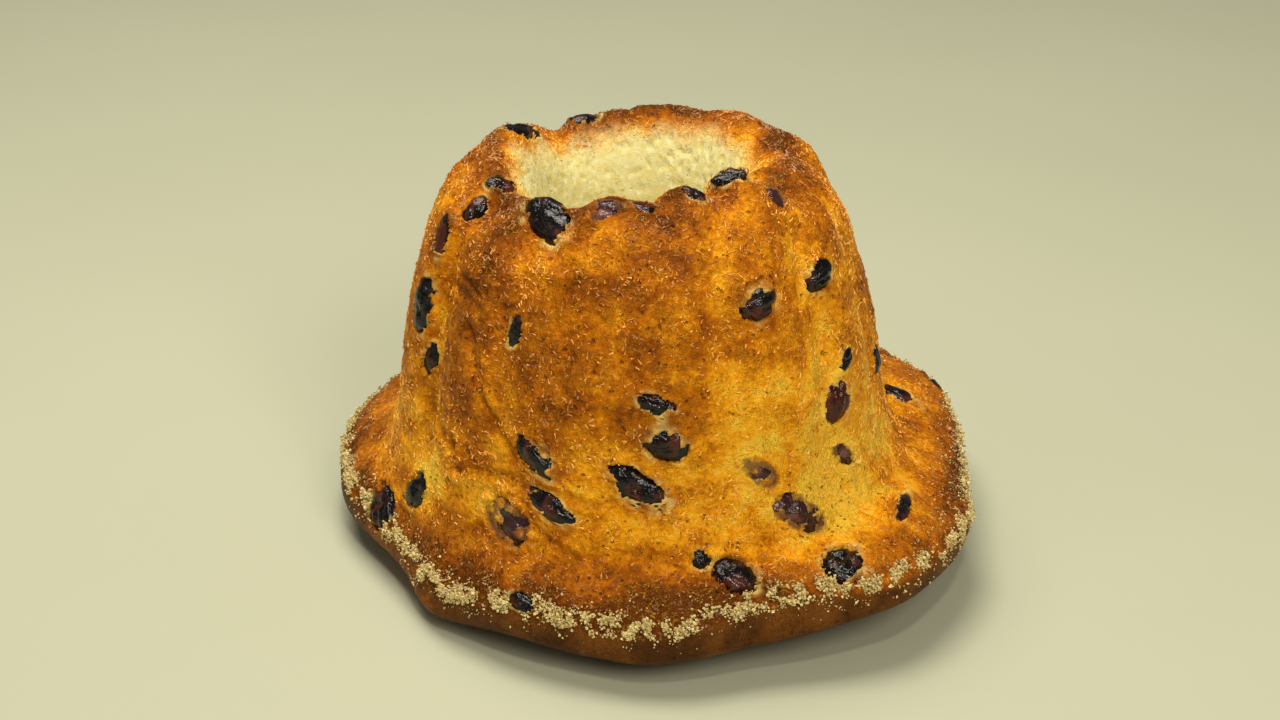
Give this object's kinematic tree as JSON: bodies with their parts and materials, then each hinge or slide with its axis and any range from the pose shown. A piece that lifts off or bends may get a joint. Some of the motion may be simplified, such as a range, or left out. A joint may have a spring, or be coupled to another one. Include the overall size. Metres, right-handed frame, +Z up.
{
  "type": "kugelhopf",
  "caption": "Small ring cake with raisins, turned out of a fluted mould with its narrow end up, on a wide uneven brim, with a hole through the middle.",
  "frame": {"origin": "middle of the cake's box seen from above, on the surface it stands on", "axes": "+Z up, out of the hole at the narrow end; -Y towards the viewer of the picture; +X to the viewer's right"},
  "size_m": [0.1754, 0.1773, 0.1207],
  "materials": {
    "crust": "baked golden to brown crust, dry crumb",
    "raisin_dark": "near-black wrinkled raisin with a soft gloss",
    "raisin_red": "red-brown glossy raisin",
    "raisin_veiled": "raisin under a thin film of crust"
  },
  "bodies": {
    "root": {"cake": "crust", "raisin_brim_round": "raisin_dark", "raisin_brim_slit": "raisin_dark", "raisin_crown_corner": "raisin_dark", "raisin_crown_round": "raisin_dark", "raisin_crumb_dark": "raisin_dark", "raisin_edge_high": "raisin_dark", "raisin_edge_low": "raisin_dark", "raisin_foot_centre": "raisin_dark", "raisin_foot_left": "raisin_dark", "raisin_foot_low": "raisin_dark", "raisin_foot_middle": "raisin_dark", "raisin_foot_wavy": "raisin_dark", "raisin_groove_low": "raisin_dark", "raisin_groove_middle": "raisin_dark", "raisin_groove_top": "raisin_dark", "raisin_groove_upper": "raisin_dark", "raisin_pair_large": "raisin_dark", "raisin_pair_small": "raisin_dark", "raisin_pink_right": "raisin_veiled", "raisin_pink_small": "raisin_veiled", "raisin_rear_01": "raisin_dark", "raisin_rear_02": "raisin_dark", "raisin_rear_03": "raisin_dark", "raisin_rear_04": "raisin_dark", "raisin_rear_05": "raisin_dark", "raisin_rear_06": "raisin_dark", "raisin_rear_07": "raisin_dark", "raisin_rear_08": "raisin_red", "raisin_rear_09": "raisin_dark", "raisin_rear_10": "raisin_red", "raisin_rear_11": "raisin_dark", "raisin_rear_12": "raisin_dark", "raisin_rear_13": "raisin_red", "raisin_rear_14": "raisin_dark", "raisin_rear_15": "raisin_dark", "raisin_rear_16": "raisin_dark", "raisin_rear_17": "raisin_dark", "raisin_rear_rim_left": "raisin_dark", "raisin_rear_rim_right": "raisin_dark", "raisin_red_large": "raisin_red", "raisin_red_tail": "raisin_dark", "raisin_rib_small": "raisin_dark", "raisin_rim_big": "raisin_dark", "raisin_rim_brown": "raisin_dark", "raisin_rim_grey": "raisin_veiled", "raisin_rim_left": "raisin_dark", "raisin_rim_pink": "raisin_veiled", "raisin_rim_sliver": "raisin_dark", "raisin_rim_thin": "raisin_dark", "raisin_side_dark": "raisin_dark", "raisin_side_thin": "raisin_dark", "raisin_veil_left": "raisin_veiled", "raisin_veil_right": "raisin_veiled"}
  },
  "joints": []
}
